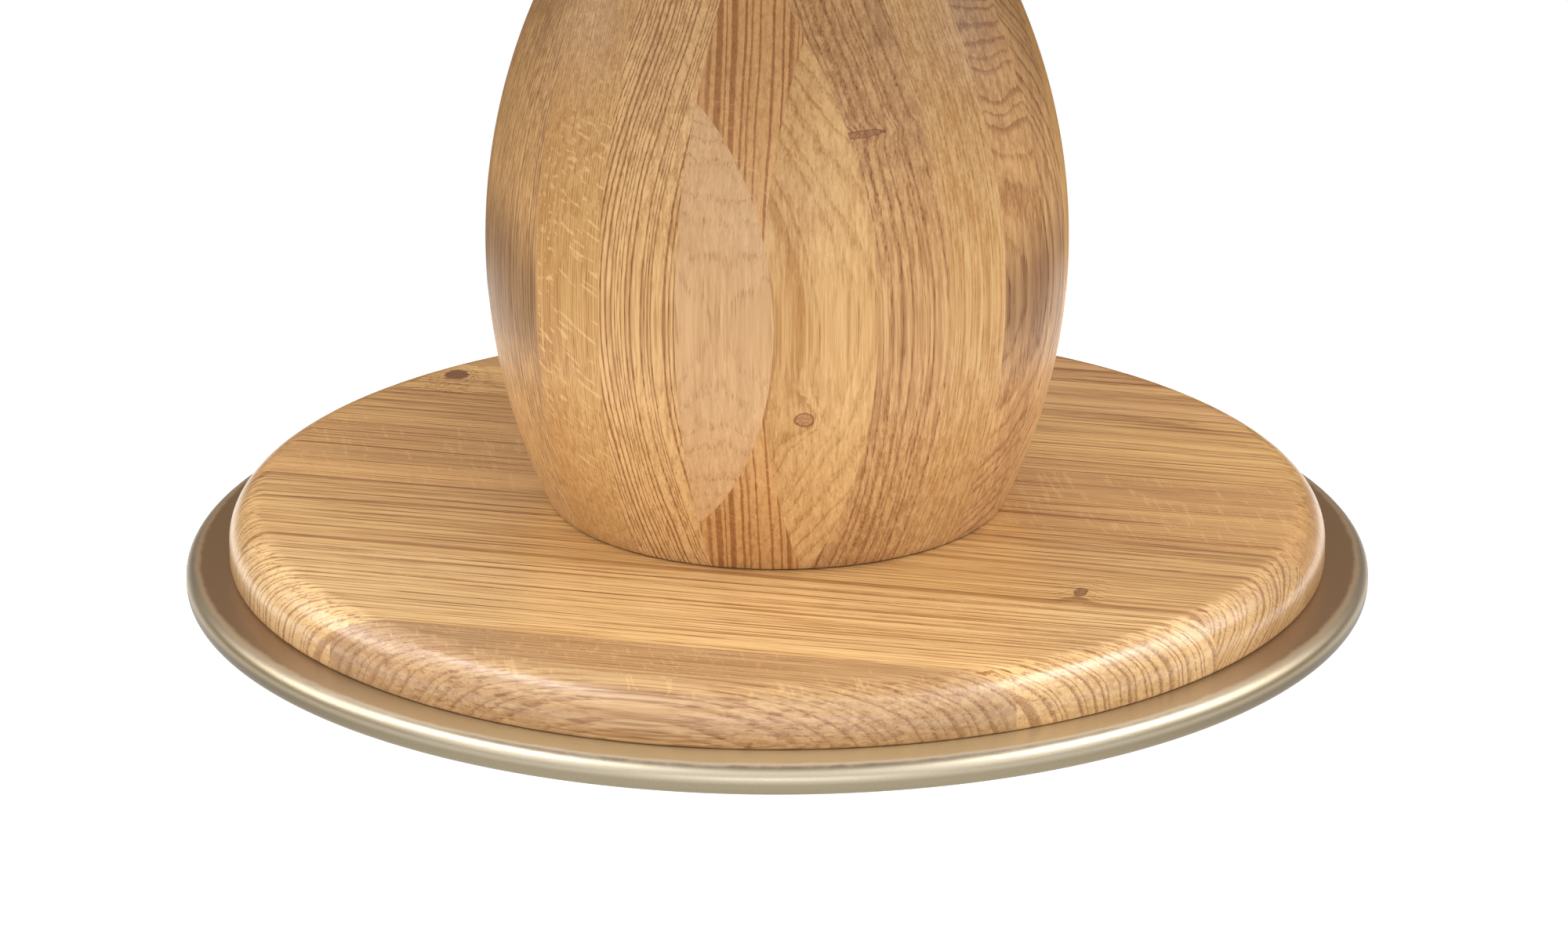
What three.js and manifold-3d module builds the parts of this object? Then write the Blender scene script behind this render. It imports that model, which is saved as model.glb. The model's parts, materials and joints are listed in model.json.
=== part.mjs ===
// A round pedestal table: a round oak top on a turned, laminated oak column, which stands on a
// round oak disc and a lacquered steel ring with four screw-adjusted levelling feet.
// A tie rod clamps the disc, the column and the top plate together.
// Millimetres, +Z up. The origin is on the floor, on the column's axis; -Y is the front.

import * as THREE from "three";
import { mergeVertices } from "three/addons/utils/BufferGeometryUtils.js";
import Module from "manifold-3d";

const wasm = await Module();
wasm.setup();

// ---------------------------------------------------------------- driving dimensions

const TABLE_HEIGHT = 750;
const GAP = 0.3; // glue lines and clearances between fixed pieces

// Steel ring on the floor
const RING_RADIUS = 350;
const RING_BORE = 280;
const RING_THICKNESS = 16.5;
const RING_TOP_ROUND = 8.3;
const RING_FOOT_ROUND = 5;

// Levelling feet (M8 screw, 1.25 mm pitch)
const FEET = { count: 4, circle: 302, angle: 50 };
const PAD_REACH = 3; // how far the pads stand below the ring when screwed home
const PAD_RADIUS = 15;
const PAD_HEIGHT = 8;
const STUD_RADIUS = 4;
const STUD_HEAD_RADIUS = 7;
const STUD_HEAD_HEIGHT = 2.6;
const STUD_RUNNING_CLEARANCE = 0.09;
const STUD_ABOVE_RING = 12;

// Oak base disc
const DISC_RADIUS = 324.1;
const DISC_THICKNESS = 33.1;
const DISC_YAW = -13.4; // degrees, direction of its boards
const DISC_FIRST_SEAM = -258;
const DISC_BOARD_WIDTH = 110;
const DISC_SEAMS = 5;
const BULLNOSE = 21.2;
const UNDER_ROUND = 2.5;

// Column: a barrel arc below, a hollow neck arc above, tangent to each other
const BARREL_RADIUS = 170;
const BARREL_HEIGHT = 208; // of the widest place, above the floor
const BARREL_ARC = 362;
const BARREL_END_ANGLE = 25; // degrees above the horizontal where the neck arc takes over
const NECK_ARC = 560;
const COLUMN_YAW = -34; // degrees, direction of its layers
const LAYER = 41;
const FIRST_LAYER_SEAM = -142;
const LAYER_SEAMS = 8;
const COLUMN_BORE = 10;

// Top
const TOP_RADIUS = 600;
const TOP_THICKNESS = 33;
const TOP_FIRST_SEAM = -525;
const TOP_BOARD_WIDTH = 150;
const TOP_SEAMS = 8;
const TOP_PLATE_RADIUS = 180;
const TOP_PLATE_THICKNESS = 6;
const BATTEN = { offset: 300, length: 800, width: 40, thickness: 5, screwAt: 360 };

// Tie rod (M16)
const ROD_RADIUS = 8;
const NUT_FLATS = 24;
const NUT_HEIGHT = 8;
const WASHER_RADIUS = 15;
const WASHER_THICKNESS = 3;
const BOTTOM_PLATE_RADIUS = 100;
const BOTTOM_PLATE_THICKNESS = 5;
const NUT_RECESS = { radius: 24, depth: 15 };

// Dowels between disc and column
const DOWELS = { count: 2, circle: 70, angle: COLUMN_YAW };
const DOWEL = { radius: 6, length: 60, depthInDisc: 25 };

// Screws
const RING_SCREWS = { count: 6, circle: 302, angle: 30 };
const RING_SCREW = { radius: 3, head: 6, headHeight: 3, length: 40, key: 4 };
const TOP_SCREWS = { count: 6, circle: 160, angle: 0 };
const TOP_SCREW = { radius: 4, head: 7, headHeight: 4, length: 30, key: 5 };
const BATTEN_SCREW = { radius: 2.5, head: 5, headHeight: 2.5, length: 22, key: 3 };

// Facets round each kind of round piece
const SIDES = { top: 72, disc: 60, ring: 60, column: 36, plate: 32, hardware: 12, thread: 16 };

// ---------------------------------------------------------------- heights

const ringBottom = PAD_REACH;
const ringTop = ringBottom + RING_THICKNESS;
const discTop = ringTop + DISC_THICKNESS;
const topUnderside = TABLE_HEIGHT - TOP_THICKNESS;
const columnTop = topUnderside - TOP_PLATE_THICKNESS;
const bottomPlateUnderside = ringTop - BOTTOM_PLATE_THICKNESS;
const counterboreTop = PAD_HEIGHT + 0.6;

// ---------------------------------------------------------------- finishes

const oak = (lightness) => new THREE.MeshStandardMaterial({
  color: new THREE.Color(0xc08a4c).multiplyScalar(lightness),
  roughness: 0.45,
  metalness: 0,
});
const finish = (color, roughness, metalness) => () =>
  new THREE.MeshStandardMaterial({ color, roughness, metalness });
const champagne = finish(0xb8a98a, 0.38, 0.85);
const zincSteel = finish(0x9ea1a4, 0.4, 0.9);
const blackSteel = finish(0x2a2a2b, 0.6, 0.4);
const beech = finish(0xcfa878, 0.6, 0);
const blackPlastic = finish(0x1c1c1d, 0.7, 0);

// ---------------------------------------------------------------- solids

const radians = THREE.MathUtils.degToRad;

// A closed three.js geometry as a solid that can be cut and joined.
function solid(geometry) {
  const bare = geometry.clone();
  bare.deleteAttribute("normal");
  bare.deleteAttribute("uv");
  const merged = mergeVertices(bare, 1e-4);
  const faces = [];
  const index = merged.index.array;
  for (let i = 0; i < index.length; i += 3) {
    const [a, b, c] = index.slice(i, i + 3);
    if (a !== b && b !== c && c !== a) faces.push(a, b, c);
  }
  return new wasm.Manifold(new wasm.Mesh({
    numProp: 3,
    vertProperties: merged.attributes.position.array,
    triVerts: new Uint32Array(faces),
  }));
}

// A solid as a three.js geometry with flat shading.
function geometryOf(made) {
  const mesh = made.getMesh();
  const geometry = new THREE.BufferGeometry();
  geometry.setAttribute("position", new THREE.BufferAttribute(mesh.vertProperties, 3));
  geometry.setIndex(new THREE.BufferAttribute(mesh.triVerts, 1));
  const flat = geometry.toNonIndexed();
  flat.computeVertexNormals();
  return flat;
}

// A named piece made from a solid.
function piece(name, made, material, x = 0, y = 0, z = 0) {
  const mesh = new THREE.Mesh(geometryOf(made), material);
  mesh.name = name;
  mesh.position.set(x, y, z);
  return mesh;
}

// Points of an arc in a profile: centre, radius, first and last angle in degrees.
function arc(r, z, radius, from, to, steps) {
  return Array.from({ length: steps + 1 }, (_, i) => {
    const angle = radians(from + ((to - from) * i) / steps);
    return [r + radius * Math.cos(angle), z + radius * Math.sin(angle)];
  });
}

// A profile of [radius, height] points, from the lowest point round the outside to the top,
// turned about Z. A profile that doesn't meet the axis is closed on itself.
function turned(profile, sides) {
  const points = profile.map(([r, z]) => new THREE.Vector2(r, z));
  const onAxis = profile[0][0] === 0 && profile.at(-1)[0] === 0;
  if (!onAxis) points.push(points[0].clone());
  return solid(new THREE.LatheGeometry(points, sides).rotateX(Math.PI / 2));
}

// A round rod or hole from one height to another.
function rod(radius, from, to, sides = SIDES.hardware) {
  return turned([[0, from], [radius, from], [radius, to], [0, to]], sides);
}

// A six-sided prism across its flats, from one height to another.
function hexagon(flats, from, to) {
  return rod(flats / Math.sqrt(3), from, to, 6);
}

// A box by its low and high corners.
function block(low, high) {
  const size = high.map((value, i) => value - low[i]);
  const box = new THREE.BoxGeometry(...size);
  return solid(box.translate(...low.map((value, i) => value + size[i] / 2)));
}

// A flat bar with round ends along Y, centred on (x, 0).
function bar(x, length, width, from, to) {
  const half = length / 2 - width / 2;
  const outline = new THREE.Shape();
  outline.absarc(x, half, width / 2, 0, Math.PI, false);
  outline.absarc(x, -half, width / 2, Math.PI, 2 * Math.PI, false);
  outline.closePath();
  const extrusion = { depth: to - from, bevelEnabled: false, curveSegments: 8 };
  return solid(new THREE.ExtrudeGeometry(outline, extrusion).translate(0, 0, from));
}

// Places evenly spaced on a circle, seen from a frame turned by yaw degrees.
function placesOn({ count, circle, angle }, yaw = 0) {
  return Array.from({ length: count }, (_, i) => {
    const direction = radians(angle - yaw + (360 * i) / count);
    return [circle * Math.cos(direction), circle * Math.sin(direction)];
  });
}

// The same cutter or piece at each of several places.
const atEach = (places, made) => places.map(([x, y]) => made.translate([x, y, 0]));
const cutBy = (body, cutters) => cutters.reduce((rest, cutter) => rest.subtract(cutter), body);

// A screw that points up from z = 0, with a socket for a hexagon key in its head.
// A countersunk head lies above z = 0, a button head below it.
function screw({ radius, head, headHeight, length, key }, countersunk) {
  const profile = countersunk
    ? [[0, 0], [head, 0], [radius, headHeight], [radius, length - radius], [radius / 2, length], [0, length]]
    : [[0, -headHeight], [head * 0.7, -headHeight], [head, -headHeight * 0.45], [head, 0],
      [radius, 0], [radius, length - 1], [radius - 1, length], [0, length]];
  const low = countersunk ? 0 : -headHeight;
  return turned(profile, SIDES.hardware).subtract(hexagon(key, low - 1, low + headHeight * 0.6));
}

// The hole that a countersunk screw passes through, from below z = 0 up.
function countersink({ radius, head, headHeight, length }, clearance = GAP) {
  return turned([
    [0, -2],
    [head + clearance, -2],
    [head + clearance, 0],
    [radius + clearance, headHeight + clearance],
    [radius + clearance, length + clearance],
    [0, length + clearance],
  ], SIDES.hardware);
}

// ---------------------------------------------------------------- round boards

// A disc with a bullnose round its top edge and a small round under it.
function roundTop(radius, from, to, sides) {
  return turned([
    [0, from],
    ...arc(radius - UNDER_ROUND, from + UNDER_ROUND, UNDER_ROUND, -90, 0, 2),
    ...arc(radius - BULLNOSE, to - BULLNOSE, BULLNOSE, 0, 90, 4),
    [0, to],
  ], sides);
}

// Cuts a body into slices across local Y, with a glue line at each seam.
function slices(body, firstSeam, width, seams, reach) {
  const edges = Array.from({ length: seams }, (_, i) => firstSeam + width * i);
  const lows = [-reach, ...edges.map((y) => y + GAP / 2)];
  const highs = [...edges.map((y) => y - GAP / 2), reach];
  return lows.map((low, i) => body.intersect(block([-reach, low, -1], [reach, highs[i], TABLE_HEIGHT + 1])));
}

// Board-to-board lightness, so that neighbours differ.
const boardLightness = (i) => 0.88 + 0.08 * ((i * 5) % 4);

// ---------------------------------------------------------------- the table

const table = new THREE.Group();

// Base ring, with counterbores and threaded holes for the feet and countersunk screw holes.
const footPlaces = placesOn(FEET);
const ringScrewPlaces = placesOn(RING_SCREWS);
const ringBlank = turned([
  [RING_BORE, ringBottom],
  ...arc(RING_RADIUS - RING_FOOT_ROUND, ringBottom + RING_FOOT_ROUND, RING_FOOT_ROUND, -90, 0, 2),
  ...arc(RING_RADIUS - RING_TOP_ROUND, ringTop - RING_TOP_ROUND, RING_TOP_ROUND, 0, 90, 3),
  [RING_BORE, ringTop],
], SIDES.ring);
const ring = cutBy(ringBlank, [
  ...atEach(footPlaces, rod(PAD_RADIUS + 1, 0, counterboreTop)),
  ...atEach(footPlaces, rod(STUD_RADIUS + STUD_RUNNING_CLEARANCE, 0, ringTop + 1, SIDES.thread)),
  ...atEach(ringScrewPlaces, countersink(RING_SCREW).translate([0, 0, ringBottom])),
]);
table.add(piece("base_ring", ring, champagne()));

// Base disc, glued from boards.
const disc = new THREE.Group();
disc.rotation.z = radians(DISC_YAW);
table.add(disc);
const dowelFloor = discTop - DOWEL.depthInDisc;
const dowelHole = rod(DOWEL.radius + GAP, dowelFloor, dowelFloor + DOWEL.length + 1);
const discBlank = cutBy(roundTop(DISC_RADIUS, ringTop, discTop, SIDES.disc), [
  rod(ROD_RADIUS + 1, 0, TABLE_HEIGHT),
  ...atEach(placesOn(RING_SCREWS, DISC_YAW),
    rod(RING_SCREW.radius + GAP, 0, ringBottom + RING_SCREW.length + 1)),
  ...atEach(placesOn(FEET, DISC_YAW), rod(5, 0, ringTop + STUD_ABOVE_RING + 2)),
  ...atEach(placesOn(DOWELS, DISC_YAW), dowelHole),
]);
slices(discBlank, DISC_FIRST_SEAM, DISC_BOARD_WIDTH, DISC_SEAMS, DISC_RADIUS + 5).forEach((board, i) => {
  disc.add(piece(`base_board_${i + 1}`, board, oak(boardLightness(i))));
});

// Column, turned from a laminated block.
const column = new THREE.Group();
column.rotation.z = radians(COLUMN_YAW);
table.add(column);
const barrelCentre = BARREL_RADIUS - BARREL_ARC;
const footAngle = THREE.MathUtils.radToDeg(Math.asin((discTop - BARREL_HEIGHT) / BARREL_ARC));
const turn = radians(BARREL_END_ANGLE);
const neckCentre = [
  barrelCentre + (BARREL_ARC + NECK_ARC) * Math.cos(turn),
  BARREL_HEIGHT + (BARREL_ARC + NECK_ARC) * Math.sin(turn),
];
const headAngle = 180 - THREE.MathUtils.radToDeg(Math.asin((columnTop - neckCentre[1]) / NECK_ARC));
const barrel = arc(barrelCentre, BARREL_HEIGHT, BARREL_ARC, footAngle, BARREL_END_ANGLE, 10);
const neck = arc(...neckCentre, NECK_ARC, 180 + BARREL_END_ANGLE, headAngle, 5).slice(1);
const columnBlank = cutBy(turned([[0, discTop], ...barrel, ...neck, [0, columnTop]], SIDES.column), [
  rod(COLUMN_BORE, 0, TABLE_HEIGHT),
  ...atEach(placesOn(DOWELS, COLUMN_YAW), dowelHole),
]);
slices(columnBlank, FIRST_LAYER_SEAM, LAYER, LAYER_SEAMS, BARREL_RADIUS + 5).forEach((layer, i) => {
  column.add(piece(`column_layer_${i + 1}`, layer, oak(boardLightness(i + 2))));
});

// Dowels that stop the column turning on the disc.
placesOn(DOWELS).forEach(([x, y], i) => {
  table.add(piece(`dowel_${i + 1}`, rod(DOWEL.radius, 0, DOWEL.length), beech(), x, y, dowelFloor + GAP));
});

// Plates at the two ends of the column.
const plate = (radius, from, to) => turned([
  [0, from],
  [radius - 1, from],
  [radius, from + 1],
  [radius, to - 1],
  [radius - 1, to],
  [0, to],
], SIDES.plate);
const plateHole = rod(ROD_RADIUS + 0.5, 0, TABLE_HEIGHT);
const bottomPlate = plate(BOTTOM_PLATE_RADIUS, bottomPlateUnderside, ringTop).subtract(plateHole);
table.add(piece("bottom_plate", bottomPlate, zincSteel()));
const topScrewPlaces = placesOn(TOP_SCREWS);
const topPlate = cutBy(plate(TOP_PLATE_RADIUS, columnTop, topUnderside), [
  plateHole,
  ...atEach(topScrewPlaces, rod(TOP_SCREW.radius + 0.5, 0, TABLE_HEIGHT)),
]);
table.add(piece("top_plate", topPlate, blackSteel()));

// Tie rod with its nuts and washer.
const rodBottom = bottomPlateUnderside - NUT_HEIGHT - 2;
const washerTop = topUnderside + WASHER_THICKNESS;
const rodTop = washerTop + NUT_HEIGHT + 2;
const tieRod = turned([
  [0, rodBottom],
  [ROD_RADIUS - 1, rodBottom],
  [ROD_RADIUS, rodBottom + 1],
  [ROD_RADIUS, rodTop - 1],
  [ROD_RADIUS - 1, rodTop],
  [0, rodTop],
], SIDES.hardware);
table.add(piece("tie_rod", tieRod, zincSteel()));
const nut = hexagon(NUT_FLATS, 0, NUT_HEIGHT).subtract(rod(ROD_RADIUS + GAP, -1, NUT_HEIGHT + 1));
const washerHole = rod(ROD_RADIUS + 0.5, -1, WASHER_THICKNESS + 1);
const washer = rod(WASHER_RADIUS, 0, WASHER_THICKNESS).subtract(washerHole);
table.add(piece("bottom_nut", nut, zincSteel(), 0, 0, bottomPlateUnderside - NUT_HEIGHT));
table.add(piece("top_washer", washer, zincSteel(), 0, 0, topUnderside));
table.add(piece("top_nut", nut, zincSteel(), 0, 0, washerTop));

// Screws that hold the ring to the disc, from below.
ringScrewPlaces.forEach(([x, y], i) => {
  table.add(piece(`ring_screw_${i + 1}`, screw(RING_SCREW, true), zincSteel(), x, y, ringBottom));
});

// Tabletop, glued from boards, with grooves for the battens and a recess over the top nut.
const battenSides = [-BATTEN.offset, BATTEN.offset];
const battenTop = topUnderside + BATTEN.thickness;
const battenScrewPlaces = battenSides.flatMap((x) => [[x, -BATTEN.screwAt], [x, BATTEN.screwAt]]);
const topBlank = cutBy(roundTop(TOP_RADIUS, topUnderside, TABLE_HEIGHT, SIDES.top), [
  rod(NUT_RECESS.radius, 0, topUnderside + NUT_RECESS.depth),
  ...atEach(topScrewPlaces, rod(TOP_SCREW.radius + GAP, 0, columnTop + TOP_SCREW.length + 1)),
  ...battenSides.map((x) => bar(x, BATTEN.length + 1, BATTEN.width + 1, topUnderside - 5, battenTop)),
  ...atEach(battenScrewPlaces, rod(BATTEN_SCREW.radius + GAP, 0, topUnderside + BATTEN_SCREW.length + 1)),
]);
slices(topBlank, TOP_FIRST_SEAM, TOP_BOARD_WIDTH, TOP_SEAMS, TOP_RADIUS + 5).forEach((board, i) => {
  table.add(piece(`tabletop_board_${i + 1}`, board, oak(boardLightness(i + 1))));
});
topScrewPlaces.forEach(([x, y], i) => {
  table.add(piece(`tabletop_screw_${i + 1}`, screw(TOP_SCREW, false), zincSteel(), x, y, columnTop));
});

// Anti-warp battens under the top.
battenSides.forEach((x, i) => {
  const holes = atEach(battenScrewPlaces, countersink(BATTEN_SCREW).translate([0, 0, topUnderside]));
  const batten = cutBy(bar(x, BATTEN.length, BATTEN.width, topUnderside, battenTop), holes);
  table.add(piece(`batten_${i + 1}`, batten, blackSteel()));
});
battenScrewPlaces.forEach(([x, y], i) => {
  table.add(piece(`batten_screw_${i + 1}`, screw(BATTEN_SCREW, true), zincSteel(), x, y, topUnderside));
});

// Levelling feet: a stud turns in the ring's thread, and its head is held in a pad that stays still.
const pocketFloor = 2.4;
const pocketTop = pocketFloor + STUD_HEAD_HEIGHT + 2 * GAP;
const pad = turned([
  [4, 0],
  ...arc(PAD_RADIUS - 1.5, 1.5, 1.5, -90, 0, 2),
  [PAD_RADIUS, PAD_HEIGHT - 2],
  [PAD_RADIUS - 3, PAD_HEIGHT],
  [STUD_RADIUS + GAP, PAD_HEIGHT],
  [STUD_RADIUS + GAP, pocketTop],
  [STUD_HEAD_RADIUS + GAP, pocketTop],
  [STUD_HEAD_RADIUS + GAP, pocketFloor],
  [4, pocketFloor],
], SIDES.thread);
const headFloor = pocketFloor + GAP;
const headTop = headFloor + STUD_HEAD_HEIGHT;
const studTop = ringTop + STUD_ABOVE_RING;
const stud = turned([
  [0, headFloor],
  [STUD_HEAD_RADIUS, headFloor],
  [STUD_HEAD_RADIUS, headTop],
  [STUD_RADIUS, headTop],
  [STUD_RADIUS, studTop - 1],
  [STUD_RADIUS - 1, studTop],
  [0, studTop],
], SIDES.thread).subtract(hexagon(5, 0, headTop));
footPlaces.forEach(([x, y], i) => {
  table.add(piece(`foot_pad_${i + 1}`, pad, blackPlastic(), x, y));
  table.add(piece(`foot_stud_${i + 1}`, stud, zincSteel(), x, y));
});

export default table;
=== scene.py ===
"""The looks of a round pedestal table: laminated, turned oak on a champagne metal ring.

Lengths are in metres. The column's axis is Z, the floor is z = 0 and -Y is the front.
"""

import json
import math
from collections import namedtuple

import bmesh
import bpy
from mathutils import Matrix, Vector


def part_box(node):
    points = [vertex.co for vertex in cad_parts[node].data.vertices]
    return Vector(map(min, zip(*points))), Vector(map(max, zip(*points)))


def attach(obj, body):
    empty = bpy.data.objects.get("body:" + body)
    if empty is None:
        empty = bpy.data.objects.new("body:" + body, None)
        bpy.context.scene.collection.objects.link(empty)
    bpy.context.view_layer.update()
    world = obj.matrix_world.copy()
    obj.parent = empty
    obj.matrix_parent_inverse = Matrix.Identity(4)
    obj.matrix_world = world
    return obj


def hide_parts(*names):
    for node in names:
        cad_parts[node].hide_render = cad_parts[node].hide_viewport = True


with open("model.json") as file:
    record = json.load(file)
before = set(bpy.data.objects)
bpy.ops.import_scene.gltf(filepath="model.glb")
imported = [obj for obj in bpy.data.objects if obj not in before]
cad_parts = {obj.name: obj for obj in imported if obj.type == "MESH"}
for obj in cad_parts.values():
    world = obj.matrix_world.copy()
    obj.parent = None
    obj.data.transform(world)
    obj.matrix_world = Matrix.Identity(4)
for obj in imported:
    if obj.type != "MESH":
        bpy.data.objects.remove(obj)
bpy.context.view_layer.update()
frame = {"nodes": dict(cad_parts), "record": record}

# ---------------------------------------------------------------- sizes

RING_LOW, RING_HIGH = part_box("base_ring")
DISC_LOW, DISC_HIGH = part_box("base_board_3")
COLUMN_LOW, COLUMN_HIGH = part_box("column_layer_5")
TOP_LOW, TOP_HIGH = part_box("tabletop_board_5")

RING_RADIUS = RING_HIGH.x
RING_BORE = 0.280
RING_TOP_ROUND = 0.0083
RING_FOOT_ROUND = 0.005

DISC_RADIUS = 0.3241
DISC_YAW = math.radians(-13.4)
DISC_SEAMS = [-0.258, -0.148, -0.038, 0.072, 0.182]
BULLNOSE = 0.0212
UNDER_ROUND = 0.0025

BARREL_RADIUS = 0.170
BARREL_HEIGHT = 0.208
BARREL_ARC = 0.362
BARREL_END = math.radians(25)
NECK_ARC = 0.560
FOOT_EASED_UP = 0.0010
FOOT_EASED_IN = 0.003
COLUMN_YAW = math.radians(-34)
LAYER_SEAMS = [-0.142, -0.101, -0.060, -0.019, 0.022, 0.063, 0.104, 0.145]
# The height of the column's band of painted shade.
PAINTED_SHADE_PLACE = 0.203

TOP_RADIUS = TOP_HIGH.x
TOP_SEAMS = [-0.525 + 0.150 * i for i in range(8)]

# The hardware: how its pieces are numbered, the sizes of their holes and the room left round them.
FEET = range(1, 5)
RING_SCREWS = range(1, 7)
TOP_SCREWS = range(1, 7)
BATTEN_SCREWS = range(1, 5)
DOWELS = range(1, 3)
BATTENS = range(1, 3)
ROD_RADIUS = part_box("tie_rod")[1].x
RING_SCREW_RADIUS = 0.003
TOP_SCREW_RADIUS = 0.004
BATTEN_SCREW_RADIUS = 0.0025
BATTEN_SCREW_START = 0.004
NUT_RECESS_RADIUS = 0.024
NUT_RECESS_DEPTH = 0.015
PLAY = 0.0003
ROD_PLAY = 0.002
FOOT_PLAY = 0.001
BATTEN_PLAY = 0.0005
PAD_ROOM = 0.0006
STUD_ROOM = 0.002
OVERCUT = 0.001
FAR_OVERCUT = 0.01

STUD_RADIUS = 0.004
STUD_HEAD_HEIGHT = 0.0026
STUD_TIP = 0.001
THREAD_PITCH = 0.00125
THREAD_FLAT = 0.0003
THREAD_SLOPE = 0.0007
THREAD_DEPTH = 0.0006
THREAD_START = 0.001
THREAD_STOP = 0.003
THREAD_FIT = 0.0001
KEY_RADIUS = 0.00289
KEY_FLOOR = 0.0004
PAD_EDGE = 0.0012

UP = Vector((0, 0, 1))
QUARTER = math.pi / 2

# ---------------------------------------------------------------- node trees


class Tree:
    """A node tree, with short calls that add a node and set or link its inputs."""

    def __init__(self, tree):
        self.nodes, self.links = tree.nodes, tree.links

    def set(self, socket, value):
        if isinstance(value, bpy.types.NodeSocket):
            self.links.new(value, socket)
        else:
            socket.default_value = value

    def add(self, kind, inputs=None, **settings):
        node = self.nodes.new("ShaderNode" + kind)
        for name, value in settings.items():
            setattr(node, name, value)
        for name, value in (inputs or {}).items():
            self.set(node.inputs[name], value)
        return node

    def math(self, operation, *values, clamp=False):
        node = self.add("Math", dict(enumerate(values)), operation=operation, use_clamp=clamp)
        return node.outputs[0]

    def times(self, a, b):
        return self.math("MULTIPLY", a, b)

    def times_add(self, a, b, c, clamp=False):
        return self.math("MULTIPLY_ADD", a, b, c, clamp=clamp)

    def vector(self, operation, *values):
        node = self.add("VectorMath", dict(enumerate(values)), operation=operation)
        scalar = operation in ("LENGTH", "DOT_PRODUCT")
        return node.outputs["Value" if scalar else "Vector"]

    def scaled(self, vector, number):
        node = self.add("VectorMath", {0: vector, "Scale": number}, operation="SCALE")
        return node.outputs["Vector"]

    def join(self, x, y, z):
        return self.add("CombineXYZ", {0: x, 1: y, 2: z}).outputs[0]

    def split(self, vector):
        return self.add("SeparateXYZ", {0: vector}).outputs

    def noise(self, vector, detail=1.0, roughness=0.5, output="Fac"):
        inputs = {"Vector": vector, "Scale": 1.0, "Detail": detail, "Roughness": roughness}
        return self.add("TexNoise", inputs).outputs[output]

    def noise_line(self, value, detail=1.0):
        node = self.add("TexNoise", {"W": value, "Scale": 1.0, "Detail": detail}, noise_dimensions="1D")
        return node.outputs["Fac"]

    def range(self, value, low, high, first=0.0, last=1.0):
        """first below low, last above high, and a smooth step between."""
        inputs = {"Value": value, "From Min": low, "From Max": high, "To Min": first, "To Max": last}
        return self.add("MapRange", inputs, interpolation_type="SMOOTHSTEP").outputs[0]

    def mix(self, factor, a, b, blend="MIX"):
        """A blend of two colours. One that is given as a tuple has three parts."""
        a, b = [(*colour, 1) if isinstance(colour, tuple) else colour for colour in (a, b)]
        node = self.add("Mix", {0: factor, 6: a, 7: b}, data_type="RGBA", blend_type=blend)
        return node.outputs[2]

    def shade(self, factor, colour, tint):
        return self.mix(factor, colour, tint, "MULTIPLY")

    def bump(self, height, strength, distance):
        return self.add("Bump", {"Height": height, "Strength": strength, "Distance": distance}).outputs[0]


def new_material(name):
    """A material with its tree and its shader's inputs."""
    material = bpy.data.materials.new(name)
    material.use_nodes = True
    return material, Tree(material.node_tree), material.node_tree.nodes["Principled BSDF"].inputs


# ---------------------------------------------------------------- camera and studio

CAMERA_PLACE = (0.004, -3.2514, 1.2279)
CAMERA_PITCH = math.radians(19.62)
LENS = 133.98
SENSOR = 36

FLOOR_REACH = 0.55
FLOOR_DROP = 0.0002

# Each lamp's azimuth (0 is the front, 90 the right), elevation, distance, width, height and power.
LAMP_AIM = 0.1
LAMPS = {
    "key_left": (-46, 22, 2.8, 1.6, 1.2, 9),
    "key_right": (46, 22, 2.8, 1.6, 1.2, 9),
    "side_left": (-100, 26, 2.6, 1.2, 0.9, 17),
    "side_right": (100, 26, 2.6, 1.2, 0.9, 14),
    "high_left": (-72, 53, 2.6, 1.7, 0.6, 33),
    "high_right": (80, 49, 2.6, 1.7, 0.6, 35),
    "high_front": (0, 60, 2.6, 2.2, 0.9, 3),
    "low_front": (0, 7, 3.4, 2.6, 0.6, 26),
}


def add_camera():
    data = bpy.data.cameras.new("camera")
    data.lens = LENS
    data.sensor_width = SENSOR
    camera = bpy.data.objects.new("camera", data)
    camera.location = CAMERA_PLACE
    camera.rotation_euler = (QUARTER - CAMERA_PITCH, 0, 0)
    bpy.context.scene.collection.objects.link(camera)
    bpy.context.scene.camera = camera


def add_softbox(name, azimuth, elevation, distance, width, height, power):
    """A rectangular lamp that looks at the foot of the table."""
    data = bpy.data.lights.new(name, "AREA")
    data.shape = "RECTANGLE"
    data.size = width
    data.size_y = height
    data.energy = power
    lamp = bpy.data.objects.new(name, data)
    a, e = math.radians(azimuth), math.radians(elevation)
    outward = Vector((math.sin(a) * math.cos(e), -math.cos(a) * math.cos(e), math.sin(e)))
    lamp.location = outward * distance + UP * LAMP_AIM
    lamp.rotation_euler = outward.to_track_quat("Z", "Y").to_euler()
    bpy.context.scene.collection.objects.link(lamp)


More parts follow.
